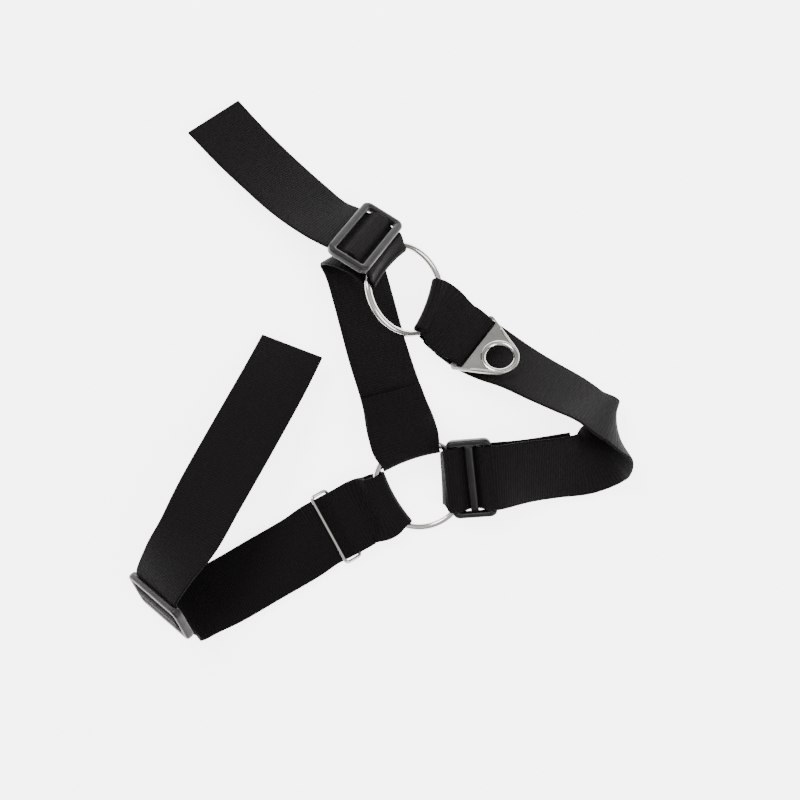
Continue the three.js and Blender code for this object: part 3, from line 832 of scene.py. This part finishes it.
finish_piece(ring("look_upper_ring", upper_ring), STEEL, "steel", "upper_ring", "upper_ring")
finish_piece(ring("look_lower_ring", lower_ring), STEEL, "steel", "lower_ring", "lower_ring")
finish_piece(keeper("look_keeper_loop"), STEEL, "steel", "keeper", "keeper_loop")
finish_piece(leash_plate("look_leash_plate"), PLATE, "plate", "leash_plate", "leash_plate")
finish_piece(eye_rim("look_leash_plate_rim"), STEEL, "plate", "leash_plate")
finish_piece(edge_bead("look_leash_plate_edge"), PLATE, "plate", "leash_plate")
# The three sliders are one black satin plastic; their colours differ as painted light: the shoulder slider
# is painted lighter and the girth slider browner, standing in for the light each catches at its tilt, and
# the chest slider darker as painted shade.
for label, place, colour, rough in (
    ("shoulder_slider", shoulder_slider, (0.011, 0.0105, 0.0095, 1), 0.3),
    ("chest_slider", chest_slider, (0.003, 0.0028, 0.0027, 1), 0.34),
    ("girth_slider", girth_slider, (0.008, 0.0062, 0.005, 1), 0.42),
):
    slider_painted_light_plastic = plastic_material(label + "_plastic", colour, rough)
    finish_piece(slider("look_" + label, place), slider_painted_light_plastic, "plastic", label, label)

web_piece("look_shoulder_tail", shoulder, 0, 4,
          ["shoulder_strap_tail", "shoulder_strap_tail_root"], bend=("shoulder_tail", "straps", 2.6, 3.4))
web_piece("look_shoulder_slider_near", shoulder, 4, 11,
          ["shoulder_strap_outer_slack"], bend=("straps", "shoulder_slider", 4, 6))
web_piece("look_shoulder_slider_far", shoulder, 11, 20,
          ["shoulder_strap_in_slider", "shoulder_strap_inner_slack"],
          bend=("shoulder_slider", "straps", 16, 19))
web_piece("look_shoulder_run", shoulder, 20, 47,
          ["shoulder_strap_upper_fold", "shoulder_strap_return", "shoulder_strap_run",
           "shoulder_strap_lower_fold", "shoulder_strap_sewn_end"], body="straps")
web_piece("look_chest_run", chest, 0, 35,
          ["chest_strap_leash_fold", "chest_strap_upper_fold", "chest_strap_upper_run", "chest_strap_bend",
           "chest_strap_lower_run"], body="straps")
web_piece("look_chest_slider_near", chest, 35, 42,
          ["chest_strap_outer_slack"], bend=("straps", "chest_slider", 35, 37))
web_piece("look_chest_slider_far", chest, 42, 51,
          ["chest_strap_in_slider", "chest_strap_inner_slack"], bend=("chest_slider", "straps", 47, 50))
web_piece("look_chest_end", chest, 51, 58,
          ["chest_strap_lower_fold", "chest_strap_cut_end"], body="straps")
web_piece("look_girth_tail", girth, 0, 5,
          ["girth_strap_tail", "girth_strap_tail_root"], bend=("girth_tail", "straps", 3.6, 4.4))
web_piece("look_girth_slider_near", girth, 5, 12,
          ["girth_strap_outer_slack"], bend=("straps", "girth_slider", 5, 7))
web_piece("look_girth_slider_far", girth, 12, 19,
          ["girth_strap_in_slider", "girth_strap_inner_slack"], bend=("girth_slider", "straps", 17, 19))
web_piece("look_girth_run", girth, 19, 51,
          ["girth_strap_bend", "girth_strap_run", "girth_strap_in_keeper", "girth_strap_lower_fold",
           "girth_strap_keeper_fold"], body="straps")

# ---- Floor, light and camera ----

FLOOR = 6.0  # metres from the middle to an edge


def floor():
    corners = [(-FLOOR, -FLOOR, 0), (FLOOR, -FLOOR, 0), (FLOOR, FLOOR, 0), (-FLOOR, FLOOR, 0)]
    obj = new_object("floor", corners, [(0, 1, 2, 3)], smooth=False)
    m = Nodes("floor")
    m.set(Base_Color=(0.95, 0.95, 0.95, 1), Roughness=0.9, Specular_IOR_Level=0.1)
    m.set(Emission_Color=(1, 1, 1, 1), Emission_Strength=4.5)
    obj.data.materials.append(m.material)
    return obj


def soft_light(name, place, size, power):
    """A round lamp that faces the harness."""
    light = bpy.data.lights.new(name, "AREA")
    light.shape = "DISK"
    light.size = size
    light.energy = power
    obj = bpy.data.objects.new(name, light)
    obj.location = place
    obj.rotation_euler = (-Vector(place)).to_track_quat("-Z", "Y").to_euler()
    bpy.context.scene.collection.objects.link(obj)
    return obj


lights = [
    soft_light("key", (-0.7, 0.9, 1.5), 0.9, 30),
    soft_light("fill", (0.9, -0.5, 1.3), 1.1, 18),
]
floor()

world = bpy.data.worlds.new("studio")
world.use_nodes = True
sky = world.node_tree
way = sky.nodes.new("ShaderNodeSeparateXYZ")
sky.links.new(sky.nodes.new("ShaderNodeTexCoord").outputs["Generated"], way.inputs[0])
height = sky.nodes.new("ShaderNodeMapRange")
height.inputs["From Min"].default_value = 0.15
height.inputs["From Max"].default_value = 0.85
height.inputs["To Min"].default_value = 0.12
height.inputs["To Max"].default_value = 0.85
sky.links.new(way.outputs[2], height.inputs["Value"])
sky.links.new(height.outputs[0], sky.nodes["Background"].inputs["Strength"])
sky.nodes["Background"].inputs["Color"].default_value = (1, 1, 1, 1)
bpy.context.scene.world = world

camera = bpy.data.cameras.new("camera")
camera.angle = math.radians(35.2)
camera.clip_start = 0.01
holder = bpy.data.objects.new("camera", camera)
holder.location = (0.011662, -0.017757, 0.709648)
bpy.context.scene.collection.objects.link(holder)
bpy.context.scene.camera = holder
